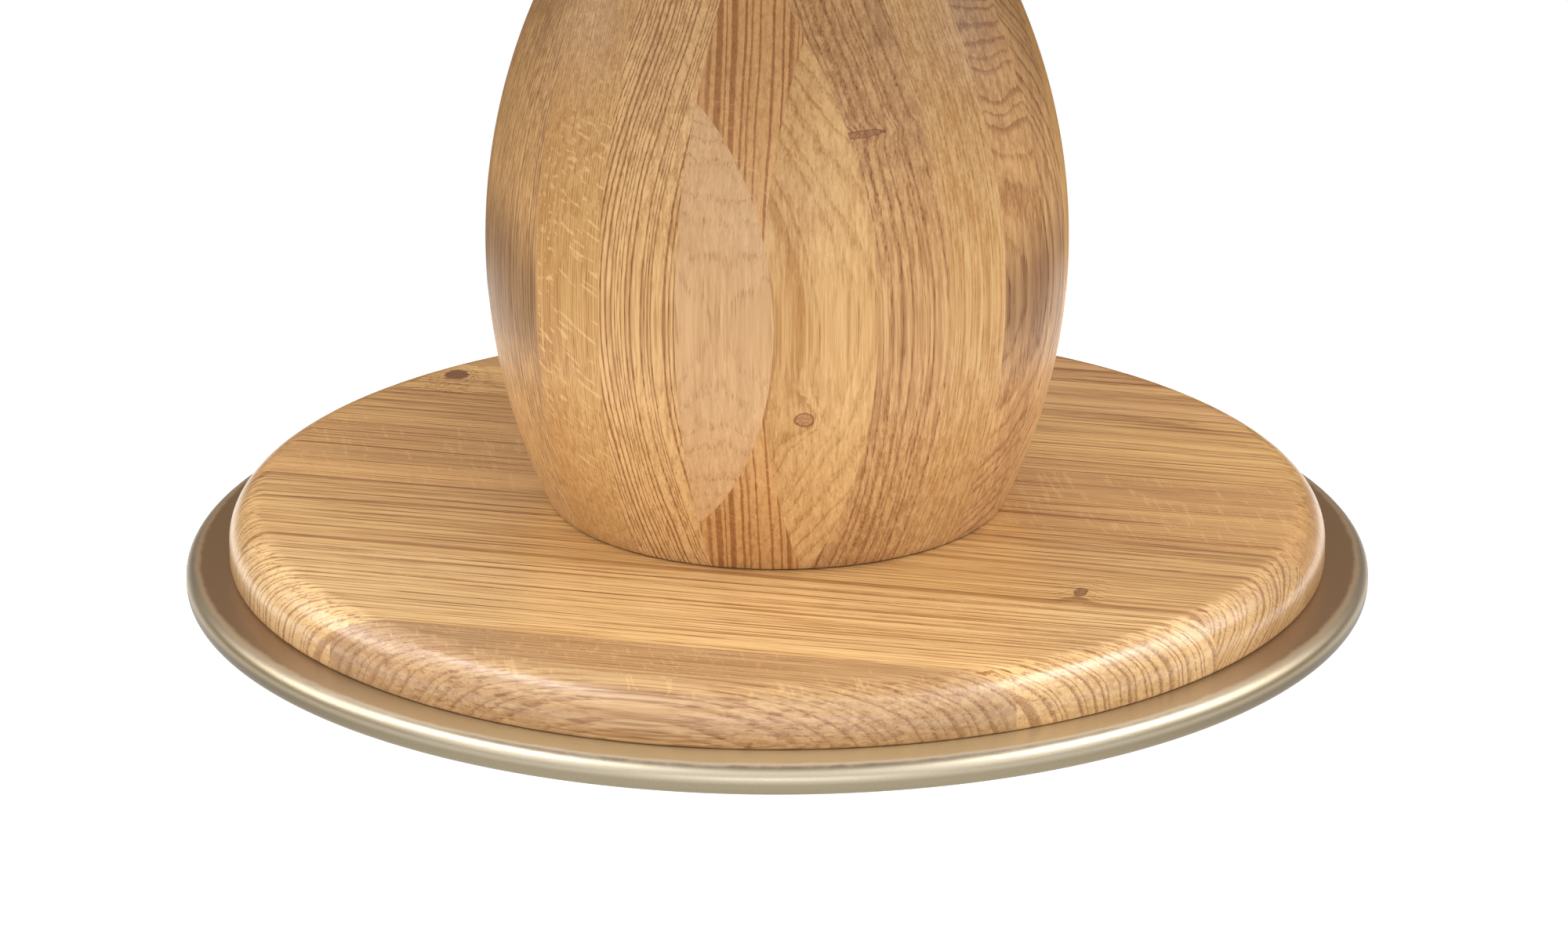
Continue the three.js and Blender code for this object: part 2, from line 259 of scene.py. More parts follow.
def add_world():
    """A sky that is warm and dim below, bright above, and darker overhead and low at the back. The camera
    itself sees plain white."""
    world = bpy.data.worlds.new("studio")
    bpy.context.scene.world = world
    world.use_nodes = True
    t = Tree(world.node_tree)
    white = world.node_tree.nodes["Background"]
    white.inputs["Color"].default_value = (1, 1, 1, 1)
    side = t.split(t.add("TexCoord").outputs["Generated"])
    rise = t.range(side[2], 0.25, 0.75, 0.32, 1.6)
    overhead = t.range(side[2], 0.86, 0.96, 1.0, 0.2)
    low_back = t.times(t.range(side[1], 0.0, 0.6), t.range(side[2], 0.40, 0.70, 1.0, 0.0))
    strength = t.times(t.times(rise, overhead), t.times_add(low_back, -0.85, 1.0))
    tint = t.mix(t.range(side[2], 0.25, 0.75), (1.0, 0.82, 0.69), (1.0, 0.99, 0.97))
    sky = t.add("Background", {"Color": tint, "Strength": strength})
    seen = t.add("LightPath").outputs["Is Camera Ray"]
    both = t.add("MixShader", {"Fac": seen, 1: sky.outputs[0], 2: white.outputs[0]})
    t.links.new(both.outputs[0], world.node_tree.nodes["World Output"].inputs["Surface"])


def add_studio():
    for name, settings in LAMPS.items():
        add_softbox(name, *settings)
    add_world()
    bpy.context.scene.view_settings.view_transform = "Standard"


def add_floor():
    body = bmesh.new()
    bmesh.ops.create_grid(body, x_segments=1, y_segments=1, size=FLOOR_REACH)
    mesh = bpy.data.meshes.new("floor")
    body.to_mesh(mesh)
    body.free()
    floor = bpy.data.objects.new("floor", mesh)
    floor.location.z = -FLOOR_DROP
    bpy.context.scene.collection.objects.link(floor)
    material, t, shader = new_material("floor")
    t.set(shader["Base Color"], (0.35, 0.35, 0.35, 1))
    t.set(shader["Roughness"], 0.9)
    t.set(shader["Emission Color"], (1, 1, 1, 1))
    t.set(shader["Emission Strength"], 1.0)
    mesh.materials.append(material)


# ---------------------------------------------------------------- oak

# What darkens the wood multiplies its colour. Ray flecks and knots are mixed in instead.
STAIN_TINT = (0.62, 0.56, 0.52)
# The colour of the column's band of painted shade.
PAINTED_SHADE_TINT = (0.55, 0.53, 0.56)
SAWN_END_TINT = (0.75, 0.74, 0.76)
LINE_TINT = (0.56, 0.42, 0.30)
SLIT_TINT = (0.55, 0.36, 0.22)
SLIT_STRENGTH = 0.14
PORE_TINT = (0.50, 0.33, 0.20)
FLECK_COLOUR = (0.77, 0.53, 0.25)
PALE_KNOT = (0.58, 0.33, 0.16)
DARK_KNOT = (0.13, 0.04, 0.015)
KNOT_MOTTLE_TINT = (0.66, 0.56, 0.50)
KNOT_RIM = (0.17, 0.045, 0.015)
KNOT_STRENGTH = 0.9
KNOT_PUSH = 1.7
KNOT_FALL_OFF = 0.16
NO_KNOT = 1e-5
SEED_STEP = (1.7, 2.3, 3.1)


class Wood(Tree):
    """The oak group's tree: its inputs, the place that each seed moves, and the patterns of the wood."""

    def __init__(self, tree):
        super().__init__(tree)
        self.given = self.nodes.new("NodeGroupInput").outputs
        self.place = self.given["Place"]
        self.seed = self.given["Seed"]
        self.own = self.vector("ADD", self.place, self.scaled(self.join(*SEED_STEP), self.seed))
        self.knot_distance, push = self.knot()
        across = self.bent()
        radius = self.vector("LENGTH", across)
        self.early, self.ring_tone = self.rings(self.math("ADD", radius, push))
        self.pores = self.open_pores()
        self.flecks, self.slits = self.rays(across, radius)
        # How far the surface faces along the grain.
        self.sawn_end = self.range(self.math("ABSOLUTE", self.split(self.given["Facing"])[0]), 0.25, 0.75)
        # Streaks along the fibres, from hand-wide patches to hairlines.
        self.broad = self.range(self.noise(self.stretched(1.6, 17), 2.5), 0.30, 0.70)
        self.streak = self.range(self.noise(self.stretched(5, 330), 4.0, 0.75), 0.34, 0.66)
        self.fibre = self.noise(self.stretched(30, 1700), 2.0, 0.7)

    def stretched(self, along, across):
        """A place for a pattern with so many features a metre along the grain and across it."""
        return self.vector("MULTIPLY", self.own, (along, across, across))

    def wobble(self, along, across, size):
        """A random shift, of the order of size."""
        colour = self.noise(self.stretched(along, across), 2, output="Color")
        return self.scaled(self.vector("SUBTRACT", colour, (0.5, 0.5, 0.5)), size)

    def knot(self):
        """The distance from the knot's axis in knot radii, and how far the knot pushes the rings aside."""
        knot, flat = self.given["Knot"], self.given["Knot Flat"]
        size = self.math("MAXIMUM", self.given["Knot Size"], NO_KNOT)
        outward = self.vector("NORMALIZE", self.vector("MULTIPLY", knot, (0, 1, 1)))
        away = self.vector("SUBTRACT", self.place, knot)
        along = self.scaled(outward, self.vector("DOT_PRODUCT", away, outward))
        beside = self.vector("MULTIPLY", self.vector("SUBTRACT", away, along), self.join(flat, 1.0, 1.0))
        ragged = self.times_add(self.noise(self.stretched(230, 300), 3.0), 0.7, 0.65)
        distance = self.times(self.math("DIVIDE", self.vector("LENGTH", beside), size), ragged)
        near = self.math("EXPONENT", self.times(self.times(distance, distance), -KNOT_FALL_OFF))
        return distance, self.times(near, self.math("DIVIDE", self.times(size, KNOT_PUSH), flat))

    def bent(self):
        """The place across the grain, after the long wander, the waves and the ripple of the fibres."""
        bend = self.vector("ADD", self.wobble(1.3, 9, self.given["Wander"]), self.wobble(4.5, 42, 0.0034))
        bend = self.vector("ADD", bend, self.wobble(60, 450, 0.0008))
        return self.vector("MULTIPLY", self.vector("ADD", self.place, bend), (0, 1, 1))

    def rings(self, radius):
        """The early wood of each growth ring, and a tone that is the ring's own."""
        uneven = self.times(self.noise_line(self.times_add(radius, 90, self.seed)), 3.0)
        rings = self.math("ADD", self.math("DIVIDE", radius, self.given["Ring"]), uneven)
        phase = self.math("FRACT", rings)
        number = self.math("ADD", self.math("FLOOR", rings), self.seed)
        tone = self.add("TexWhiteNoise", {"W": number}, noise_dimensions="1D").outputs["Value"]
        early = self.times(self.range(phase, 0.0, 0.10), self.range(phase, 0.10, 0.50, 1.0, 0.0))
        return early, tone

    def open_pores(self):
        """Short grooves along the grain, mostly in the early wood."""
        grooves = self.range(self.noise(self.stretched(45, 1300)), 0.50, 0.64)
        return self.times(grooves, self.times_add(self.early, 0.8, 0.2))

    def rays(self, across, radius):
        """Thin sheets that run out from the pith: pale flecks where the surface lies along them, and short
        dark slits where it crosses them."""
        parts = self.split(across)
        angle = self.math("ARCTAN2", parts[2], parts[1])
        along = self.split(self.own)[0]
        slope = self.times_add(radius, 0.45, along)
        fleck_place = self.join(self.times(slope, 300), self.times(radius, 38), self.times(angle, 110))
        slit_place = self.join(self.times(along, 38), self.times(radius, 42), self.times(angle, 340))
        sideways = self.vector("NORMALIZE", self.vector("CROSS_PRODUCT", (1, 0, 0), across))
        flat_on = self.math("ABSOLUTE", self.vector("DOT_PRODUCT", sideways, self.given["Facing"]))
        flecks = self.range(self.noise(fleck_place, 1.5), 0.57, 0.68)
        slits = self.range(self.noise(slit_place), 0.60, 0.70)
        edge_on = self.range(flat_on, 0.35, 0.80, 1.0, 0.0)
        return self.times(flecks, self.range(flat_on, 0.88, 0.98)), self.times(slits, edge_on)

    def lines(self):
        """Thin dark lines along the grain, faint where it is sawn across."""
        lines = self.range(self.noise(self.vector("ADD", self.stretched(5, 470), (3, 9, 1))), 0.57, 0.66)
        return self.times(lines, self.times_add(self.sawn_end, -0.8, 1.0))

    def stain(self):
        """Patches that have darkened."""
        return self.range(self.noise(self.vector("ADD", self.stretched(2.4, 20), (7, 3, 5)), 2.0), 0.50, 0.74)

    def smudge(self):
        """Painted shade: a soft dark band across the grain, a fixed way along it, for the dark surroundings
        that the column's sides face at that height.
        """
        away = self.math("ABSOLUTE", self.math("SUBTRACT", self.split(self.place)[0], PAINTED_SHADE_PLACE))
        return self.range(self.times_add(self.broad, 0.02, away), 0.02, 0.07, 1.0, 0.0)

    def tone(self):
        """How far the wood goes from its light colour to its dark one."""
        strength = self.times(self.given["Rings"], self.times_add(self.sawn_end, 1.0, 1.5))
        tone = self.times(self.early, self.times_add(self.ring_tone, 0.9, 0.55))
        tone = self.times_add(self.math("SUBTRACT", tone, 0.26), strength, 0.5)
        tone = self.times_add(self.math("SUBTRACT", self.streak, 0.5), self.given["Streaks"], tone)
        tone = self.times_add(self.math("SUBTRACT", self.broad, 0.5), 0.40, tone)
        return self.times_add(self.math("SUBTRACT", self.fibre, 0.5), 0.8, tone, clamp=True)

    def colour(self):
        """The tone's colour, with everything that lies in the wood or on it."""
        given = self.given
        colour = self.mix(self.tone(), given["Light"], given["Dark"])
        colour = self.shade(self.times(self.stain(), given["Stain"]), colour, STAIN_TINT)
        # Painted shade: a dark band across the grain at one height on the column's sides.
        colour = self.shade(self.times(self.smudge(), given["Smudge"]), colour, PAINTED_SHADE_TINT)
        colour = self.shade(self.sawn_end, colour, SAWN_END_TINT)
        colour = self.mix(self.times(self.flecks, given["Rays"]), colour, FLECK_COLOUR)
        colour = self.shade(self.times(self.lines(), given["Lines"]), colour, LINE_TINT)
        colour = self.shade(self.times(self.slits, SLIT_STRENGTH), colour, SLIT_TINT)
        colour = self.shade(self.times(self.pores, given["Pores"]), colour, PORE_TINT)
        return self.knotted(colour)

    def roughness(self):
        return self.times_add(self.pores, 0.2, self.times_add(self.fibre, 0.2, 0.32))

    def height(self):
        """The relief: fibres and streaks stand out, early wood and pores lie deeper."""
        height = self.times_add(self.fibre, 0.4, self.times(self.streak, 0.2))
        return self.math("SUBTRACT", height, self.times_add(self.early, 0.2, self.pores))

    def knotted(self, colour):
        """The colour with the knot's core and its dark rim laid over it."""
        core = self.range(self.knot_distance, 0.92, 1.12, 1.0, 0.0)
        rim = self.times(core, self.range(self.knot_distance, 0.70, 0.98))
        mottle = self.range(self.noise(self.scaled(self.own, 700), 3.0), 0.35, 0.65)
        knot = self.mix(self.given["Knot Dark"], PALE_KNOT, DARK_KNOT)
        knot = self.shade(mottle, knot, KNOT_MOTTLE_TINT)
        knot = self.mix(rim, knot, KNOT_RIM)
        return self.mix(self.times(core, KNOT_STRENGTH), colour, knot)


def oak_inputs():
    """The oak group's inputs as (name, kind, default). Those after Seed are the fields of Oak."""
    kinds = {"Place": "Vector", "Facing": "Vector", "Knot": "Vector", "Light": "Color", "Dark": "Color"}
    blank = {"Vector": (0, 0, 0), "Color": (1, 1, 1, 1), "Float": 0}
    names = ["Place", "Facing", "Seed", *OAK_INPUTS]
    return [(name, kinds.get(name, "Float"), blank[kinds.get(name, "Float")]) for name in names]


def make_oak():
    """Oak as a solid: growth rings round a pith, with streaks, pores, rays and a knot, so that every cut
    shows the figure it would have. Place is in metres from the pith, first along the grain; Facing is the
    direction that the surface faces, on the same axes."""
    group = bpy.data.node_groups.new("oak", "ShaderNodeTree")
    for name, kind, default in oak_inputs():
        socket = group.interface.new_socket(name, in_out="INPUT", socket_type="NodeSocket" + kind)
        socket.default_value = default
    for name, kind in (("Color", "Color"), ("Roughness", "Float"), ("Height", "Float")):
        group.interface.new_socket(name, in_out="OUTPUT", socket_type="NodeSocket" + kind)
    wood = Wood(group)
    result = wood.nodes.new("NodeGroupOutput").inputs
    wood.set(result["Color"], wood.colour())
    wood.set(result["Roughness"], wood.roughness())
    wood.set(result["Height"], wood.height())
    return group


# One board's wood. light and dark are its colours, ring is the width of a growth ring, wander is how far
# the rings stray, and lean is the slope of the grain. rings, streaks, pores, lines, rays, stain and the band
# of painted shade are strengths. The knot has a place, a size, a flatness and a darkness.
Oak = namedtuple("Oak", [
    "light", "dark", "ring", "wander", "rings", "streaks", "pores", "lines", "rays", "stain", "smudge",
    "knot", "knot_size", "knot_flat", "knot_dark", "lean",
])
PLAIN = Oak(
    light=(0.72, 0.455, 0.19),
    dark=(0.41, 0.21, 0.075),
    ring=0.0028,
    wander=0.016,
    rings=0.35,
    streaks=0.75,
    pores=0.55,
    lines=0.3,
    rays=0.3,
    stain=0.25,
    smudge=0,
    knot=(0, 0, 0),
    knot_size=0,
    knot_flat=1.2,
    knot_dark=0.1,
    lean=0,
)
OAK_INPUTS = [field.replace("_", " ").title() for field in Oak._fields if field != "lean"]
OAK = make_oak()

COAT_ROUGHNESS = 0.28
COAT_IOR = 1.5
OAK_SPECULAR = 0.25
OAK_BUMP = 0.35
OAK_RELIEF = 0.0005
DISC_COAT = 0.9
COLUMN_COAT = 0.15
TOP_COAT = 0.1


def oak_material(name, oak, grain, across, pith, seed, coat):
    """Oak whose grain runs along one direction, with its rings round a line through the pith."""
    material, t, shader = new_material(name)
    grain = (grain + across * oak.lean).normalized()
    across = (across - grain * across.dot(grain)).normalized()
    axes = Matrix((grain, across, grain.cross(across))).transposed()
    turn = axes.to_euler()
    seen = t.add("TexCoord").outputs
    place = {"Vector": seen["Object"], "Location": pith, "Rotation": turn}
    facing = {"Vector": seen["Normal"], "Rotation": turn}
    local_knot = axes.inverted() @ (Vector(oak.knot) - pith) if oak.knot_size else Vector()
    local = oak._replace(light=(*oak.light, 1), dark=(*oak.dark, 1), knot=local_knot)
    wood = t.nodes.new("ShaderNodeGroup")
    wood.node_tree = OAK
    t.set(wood.inputs["Place"], t.add("Mapping", place, vector_type="TEXTURE").outputs[0])
    t.set(wood.inputs["Facing"], t.add("Mapping", facing, vector_type="TEXTURE").outputs[0])
    t.set(wood.inputs["Seed"], seed)
    for label, value in zip(OAK_INPUTS, local):
        t.set(wood.inputs[label], value)
    t.set(shader["Base Color"], wood.outputs["Color"])
    t.set(shader["Roughness"], wood.outputs["Roughness"])
    t.set(shader["Normal"], t.bump(wood.outputs["Height"], OAK_BUMP, OAK_RELIEF))
    t.set(shader["Coat Weight"], coat)
    t.set(shader["Coat Roughness"], COAT_ROUGHNESS)
    t.set(shader["Coat IOR"], COAT_IOR)
    t.set(shader["Specular IOR Level"], OAK_SPECULAR)
    return material


# ---------------------------------------------------------------- mesh work

ON_AXIS = 1e-7
CUT_REACH = 1e-7
CREASE = math.radians(35)
BORE_SIDES = 48


def arc(r, z, radius, start, end, steps):
    """Points (radius, height) of an arc in a profile."""
    turns = [start + (end - start) * i / steps for i in range(steps + 1)]
    return [(r + radius * math.cos(a), z + radius * math.sin(a)) for a in turns]


def turned(profile, sides):
    """A bmesh turned about Z from (radius, height) points. A profile that starts off the axis is closed."""
    body = bmesh.new()
    turns = [2 * math.pi * i / sides for i in range(sides)]
    rows = []
    for r, z in profile:
        if r < ON_AXIS:
            rows.append([body.verts.new((0, 0, z))] * sides)
        else:
            rows.append([body.verts.new((r * math.cos(a), r * math.sin(a), z)) for a in turns])
    if profile[0][0] >= ON_AXIS:
        rows.append(rows[0])
    for low, high in zip(rows, rows[1:]):
        for i in range(sides):
            j = (i + 1) % sides
            corners = [low[i], low[j], high[j], high[i]]
            body.faces.new(dict.fromkeys(corners))
    return body


def cylinder(radius, x, y, low, high, sides=BORE_SIDES):
    body = turned([(0, low), (radius, low), (radius, high), (0, high)], sides)
    bmesh.ops.translate(body, verts=body.verts, vec=(x, y, 0))
    return body


def box_between(low, high):
    body = bmesh.new()
    bmesh.ops.create_cube(body, size=1)
    bmesh.ops.scale(body, verts=body.verts, vec=high - low)
    bmesh.ops.translate(body, verts=body.verts, vec=(high + low) / 2)
    return body


def slab(body, normal, low, high):
    """A closed copy of the part of a body between two planes across normal. None leaves a side uncut, and
    material 1 marks the faces that close it."""
    part = body.copy()
    for distance, side in ((low, -1), (high, 1)):
        if distance is None:
            continue
        everything = part.verts[:] + part.edges[:] + part.faces[:]
        cut = bmesh.ops.bisect_plane(
            part,
            geom=everything,
            dist=CUT_REACH,
            plane_co=normal * distance,
            plane_no=normal * side,
            clear_outer=True,
        )
        rim = [item for item in cut["geom_cut"] if isinstance(item, bmesh.types.BMEdge)]
        for cap in bmesh.ops.holes_fill(part, edges=rim)["faces"]:
            cap.material_index = 1
    return part


def between(seams):
    """The gaps between seams as (low, high) pairs, open at both ends."""
    return list(zip([None, *seams], [*seams, None]))


def to_object(name, body):
    """An object from a bmesh, which is used up."""
    mesh = bpy.data.meshes.new(name)
    body.to_mesh(mesh)
    body.free()
    item = bpy.data.objects.new(name, mesh)
    bpy.context.scene.collection.objects.link(item)
    return item


def merged(bodies):
    """One bmesh from several, which are used up."""
    together = bmesh.new()
    mesh = bpy.data.meshes.new("merged")
    for body in bodies:
        body.to_mesh(mesh)
        body.free()
        together.from_mesh(mesh)
    bpy.data.meshes.remove(mesh)
    return together


def cut_by(body, cutters):
    """The body with its cutters taken away. Cutters that touch each other come in separate calls."""
    blank = to_object("blank", body)
    tool = to_object("tool", merged(cutters))
    modifier = blank.modifiers.new("bores", "BOOLEAN")
    modifier.operation = "DIFFERENCE"
    modifier.solver = "EXACT"
    modifier.object = tool
    result = blank.evaluated_get(bpy.context.evaluated_depsgraph_get())
    left = bmesh.new()
    left.from_mesh(result.to_mesh())
    # Removing a mesh removes its object too.
    for mesh in (blank.data, tool.data):
        bpy.data.meshes.remove(mesh)
    return left


def finished(name, body, material):
    """Turns a bmesh into a piece with smooth faces, and crisp edges where it bends or was cut."""
    body.normal_update()
    for face in body.faces:
        face.smooth = True
    for edge in body.edges:
        at_cap = any(face.material_index for face in edge.link_faces)
        edge.smooth = not at_cap and edge.is_manifold and edge.calc_face_angle(0) < CREASE
    for face in body.faces:
        face.material_index = 0
    piece = to_object(name, body)
    piece.data.materials.append(material)
    return piece


def stand_for(piece, slot, *nodes, body="root"):
    """The piece takes the place of CAD nodes on one body."""
    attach(piece, body)
    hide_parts(*nodes)


# ---------------------------------------------------------------- holes for the hardware


def middle_of(node):
    low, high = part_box(node)
    return (low + high) / 2


def radius_of(node):
    low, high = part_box(node)
    return (high.x - low.x) / 2


def bore_for(node, radius, low=0.0, above=OVERCUT):
    """A round hole for a piece of hardware, from a height up to a little above it."""
    place = middle_of(node)
    return cylinder(radius, place.x, place.y, low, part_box(node)[1].z + above)


def base_bores():
    screws = [bore_for(f"ring_screw_{i}", RING_SCREW_RADIUS + PLAY) for i in RING_SCREWS]
    studs = [bore_for(f"foot_stud_{i}", STUD_RADIUS + FOOT_PLAY, above=STUD_ROOM) for i in FEET]
    dowels = []
    for i in DOWELS:
        dowel = f"dowel_{i}"
        dowels.append(bore_for(dowel, radius_of(dowel) + PLAY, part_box(dowel)[0].z - PLAY))
    rod = cylinder(ROD_RADIUS + ROD_PLAY / 2, 0, 0, 0, DISC_HIGH.z + FAR_OVERCUT)
    return [*screws, *studs, *dowels, rod]


def column_bores():
    dowels = [bore_for(f"dowel_{i}", radius_of(f"dowel_{i}") + PLAY, above=PLAY) for i in DOWELS]
    return [cylinder(ROD_RADIUS + ROD_PLAY, 0, 0, 0, TOP_HIGH.z), *dowels]


def top_bores():
    """The large bores and the grooves of the battens. The holes of their screws start inside the grooves."""
    screws = [bore_for(f"tabletop_screw_{i}", TOP_SCREW_RADIUS + PLAY) for i in TOP_SCREWS]
    recess = cylinder(NUT_RECESS_RADIUS, 0, 0, TOP_LOW.z - FAR_OVERCUT, TOP_LOW.z + NUT_RECESS_DEPTH)
    grooves = []
    for i in BATTENS:
        low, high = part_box(f"batten_{i}")
        play = Vector((BATTEN_PLAY, BATTEN_PLAY, 0))
        grooves.append(box_between(low - play - UP * FAR_OVERCUT, high + play))
    return [*screws, *grooves, recess]


def batten_screw_bores():
    radius = BATTEN_SCREW_RADIUS + PLAY
    return [bore_for(f"batten_screw_{i}", radius, TOP_LOW.z + BATTEN_SCREW_START) for i in BATTEN_SCREWS]


def ring_bores():
    """The pockets of the feet and the countersunk holes of the ring's screws."""
    bores = []
    for i in FEET:
        pad = f"foot_pad_{i}"
        bores.append(bore_for(pad, radius_of(pad) + FOOT_PLAY, above=PAD_ROOM))
    below, above = -2 * OVERCUT, RING_HIGH.z + OVERCUT
    shank = RING_SCREW_RADIUS + PLAY
    for i in RING_SCREWS:
        screw = f"ring_screw_{i}"
        place, head = middle_of(screw), radius_of(screw) + PLAY
        hole = turned([
            (0, below),
            (head, below),
            (head, RING_LOW.z),
            (shank, RING_LOW.z + head - shank),
            (shank, above),
            (0, above),
        ], BORE_SIDES)
        bmesh.ops.translate(hole, verts=hole.verts, vec=(place.x, place.y, 0))
        bores.append(hole)
    return bores


def stud_threads():
    return [bore_for(f"foot_stud_{i}", STUD_RADIUS + THREAD_FIT) for i in FEET]


# ---------------------------------------------------------------- base disc and tabletop


UNDER_STEPS = 4
BULLNOSE_STEPS = 16
DISC_SIDES = 256
TOP_SIDES = 360


def round_board(radius, low, high, sides):
    """A turned board with a large round on its upper edge and a small one below."""
    return turned([
        (0, low),
        *arc(radius - UNDER_ROUND, low + UNDER_ROUND, UNDER_ROUND, -QUARTER, 0, UNDER_STEPS),
        *arc(radius - BULLNOSE, high - BULLNOSE, BULLNOSE, 0, QUARTER, BULLNOSE_STEPS),
        (0, high),
    ], sides)


def directions(yaw):
    """The local X and Y directions of a group turned by yaw."""
    return Vector((math.cos(yaw), math.sin(yaw), 0)), Vector((-math.sin(yaw), math.cos(yaw), 0))


# One entry a stave, from the front to the back: its wood, and its pith beside and above its middle.
BASE_OAK = PLAIN._replace(lines=0.95, streaks=0.6, knot_dark=0.85)
BASE_STAVES = [
    (BASE_OAK._replace(
        light=(0.59, 0.40, 0.20), dark=(0.36, 0.195, 0.085), stain=0.35, ring=0.0035, rings=0.28, lines=0.6
    ), (-0.20, -0.06)),
    (BASE_OAK._replace(
        light=(0.82, 0.56, 0.26), dark=(0.46, 0.255, 0.10), rings=0.45, ring=0.0046, pores=0.8
    ), (-0.20, -0.05)),
    (BASE_OAK._replace(
        light=(0.75, 0.49, 0.205), rings=0.4, ring=0.0036, wander=0.026,
        knot=(0.172, -0.167, 0.05), knot_size=0.0048, knot_dark=0.6
    ), (0.12, -0.16)),
    (BASE_OAK._replace(light=(0.73, 0.44, 0.175), stain=0.35, ring=0.0022), (-0.24, 0.03)),
    (BASE_OAK._replace(
        light=(0.78, 0.49, 0.19), stain=0.3, knot=(-0.201, 0.214, 0.05), knot_size=0.0085
    ), (0.05, -0.12)),
    (BASE_OAK._replace(light=(0.72, 0.44, 0.19), stain=0.35), (-0.02, -0.07)),
]
# The tabletop's oak is about a fifth darker than the base's: painted shade that offsets the stronger light on
# the tabletop.
TOP_OAK = PLAIN._replace(
    light=(0.58, 0.37, 0.16), dark=(0.33, 0.165, 0.06), wander=0.03, rings=0.45, lines=0.6
)


def top_stave(i):
    """The wood and the pith of one tabletop stave. Tone, ring width and pith differ from one to the next."""
    shade = 0.90 + 0.05 * ((i * 5) % 4)
    oak = TOP_OAK._replace(
        light=[shade * c for c in TOP_OAK.light],
        dark=[shade * c for c in TOP_OAK.dark],
        ring=0.0026 + 0.0005 * (i % 3),
    )
    beside = 0.012 * ((i * 4) % 7 - 3)
    above = -0.06 - 0.02 * (i % 3)
    return oak, (beside, above)


TOP_STAVES = [top_stave(i) for i in range(len(TOP_SEAMS) + 1)]

# A round board's sizes, its staves, their first seed and finish, and what the pieces and nodes are called.
Round = namedtuple("Round", "radius low high sides yaw seams staves seed coat piece slot node")
BASE_DISC = Round(
    radius=DISC_RADIUS,
    low=DISC_LOW.z,
    high=DISC_HIGH.z,
    sides=DISC_SIDES,
    yaw=DISC_YAW,
    seams=DISC_SEAMS,
    staves=BASE_STAVES,
    seed=1,
    coat=DISC_COAT,
    piece="base_stave_",
    slot="base_oak",
    node="base_board_",
)
TABLETOP = Round(
    radius=TOP_RADIUS,
    low=TOP_LOW.z,
    high=TOP_HIGH.z,
    sides=TOP_SIDES,
    yaw=0,
    seams=TOP_SEAMS,
    staves=TOP_STAVES,
    seed=21,
    coat=TOP_COAT,
    piece="top_stave_",
    slot="top_oak",
    node="tabletop_board_",
)


def make_round(board, *cuts):
    """A round board with its bores, sliced into its staves."""
    grain, across = directions(board.yaw)
    body = round_board(board.radius, board.low, board.high, board.sides)
    for cutters in cuts:
        body = cut_by(body, cutters)
    middle = (board.low + board.high) / 2
    for i, (low, high) in enumerate(between(board.seams)):
        centre = ((low or -board.radius) + (high or board.radius)) / 2
        oak, (beside, above) = board.staves[i]
        pith = across * (centre + beside) + UP * (middle + above)
        name = f"{board.piece}{i + 1}"
        wood = oak_material(name, oak, grain, across, pith, board.seed + i, board.coat)
        piece = finished(name, slab(body, across, low, high), wood)
        stand_for(piece, board.slot, f"{board.node}{i + 1}")
    body.free()


# ---------------------------------------------------------------- column

COLUMN_SIDES = 240
BARREL_STEPS = 80
NECK_STEPS = 60


def column_profile():
    """A barrel arc below and a hollow neck arc above, tangent to each other."""
    low, high = COLUMN_LOW.z, COLUMN_HIGH.z
    barrel_centre = BARREL_RADIUS - BARREL_ARC
    reach = BARREL_ARC + NECK_ARC
    neck_r = barrel_centre + reach * math.cos(BARREL_END)
    neck_z = BARREL_HEIGHT + reach * math.sin(BARREL_END)
    foot = math.asin((low - BARREL_HEIGHT) / BARREL_ARC)
    head = math.pi - math.asin((high - neck_z) / NECK_ARC)
    barrel = arc(barrel_centre, BARREL_HEIGHT, BARREL_ARC, foot, BARREL_END, BARREL_STEPS)
    neck = arc(neck_r, neck_z, NECK_ARC, math.pi + BARREL_END, head, NECK_STEPS)
    foot_r = barrel[0][0]
    eased_foot = [(foot_r - FOOT_EASED_IN, low), (foot_r, low + FOOT_EASED_UP)]
    return [(0, low), *eased_foot, *barrel[1:], *neck[1:], (0, high)]


DUN = PLAIN._replace(light=(0.64, 0.39, 0.18), dark=(0.38, 0.195, 0.08), stain=0.5)
# The EDGE and TAWNY boards, at the column's two sides, carry its band of painted shade.
EDGE = DUN._replace(
    light=(0.74, 0.46, 0.20), dark=(0.36, 0.195, 0.08), ring=0.0026, rings=0.6, rays=0, stain=0.5, smudge=1.0
)
COARSE = PLAIN._replace(
    light=(0.78, 0.51, 0.235), dark=(0.40, 0.20, 0.07), ring=0.0027, wander=0.010, rings=0.8, pores=0.8,
    stain=0.1
)
GOLDEN = PLAIN._replace(light=(0.74, 0.46, 0.18), dark=(0.50, 0.265, 0.09), rings=0.2)
FLECKED = GOLDEN._replace(light=(0.665, 0.42, 0.172), ring=0.0018, rings=0.4, rays=0.8, streaks=0.9)
SMOOTH = PLAIN._replace(
    light=(0.75, 0.50, 0.265), dark=(0.57, 0.345, 0.17), wander=0.006, rings=0.06,
    streaks=0.6, pores=0.4, lines=0.2, rays=0, stain=0.05
)
ORANGE = PLAIN._replace(
    light=(0.72, 0.43, 0.18), dark=(0.40, 0.18, 0.06), ring=0.0050, rings=0.75, streaks=0.35, pores=0.3,
    stain=0.1
)
